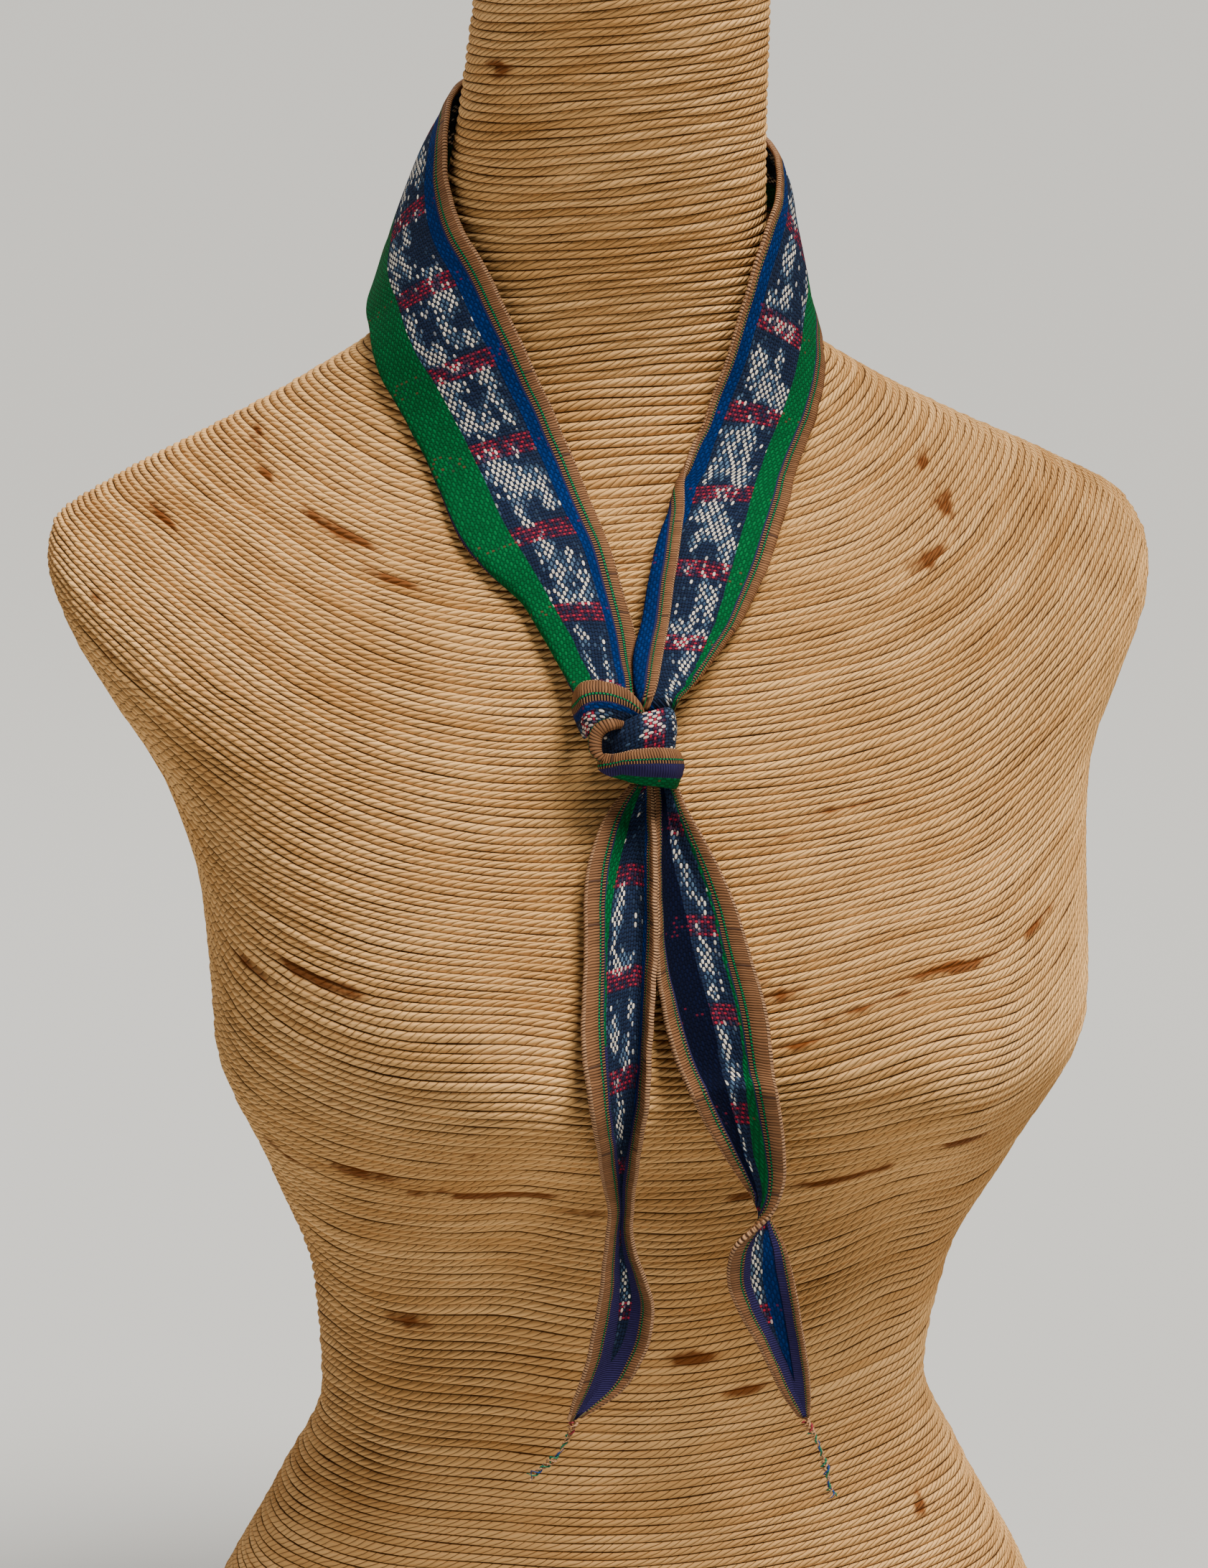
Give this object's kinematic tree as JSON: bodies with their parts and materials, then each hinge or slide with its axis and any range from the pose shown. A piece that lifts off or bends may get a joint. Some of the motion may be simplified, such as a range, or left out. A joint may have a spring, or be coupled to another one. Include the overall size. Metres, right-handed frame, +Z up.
{
  "type": "neck scarf on a dress form",
  "caption": "Narrow woven scarf with pointed ends, knotted once in front round the neck of a limbless dress form wound with twine.",
  "frame": {"origin": "middle of the form's flat base, on the floor", "axes": "+Z up along the form's height, -Y the side the form faces, +X towards the viewer's right from the front"},
  "size_m": [0.3959, 0.2607, 0.74],
  "materials": {
    "jute_winding": "matt",
    "ikat_cloth": "matt",
    "border_thread": "satin"
  },
  "bodies": {
    "root": {"dress_form": "jute_winding", "neck_loop": "ikat_cloth", "knot_core": "ikat_cloth", "knot_upper_wrap": "ikat_cloth", "knot_side_wrap": "ikat_cloth", "knot_front_wrap": "ikat_cloth", "knot_lower_wrap": "ikat_cloth", "tail_left": "ikat_cloth", "tail_right": "ikat_cloth", "thread_tail_left": "border_thread", "thread_tail_right": "border_thread"}
  },
  "joints": []
}
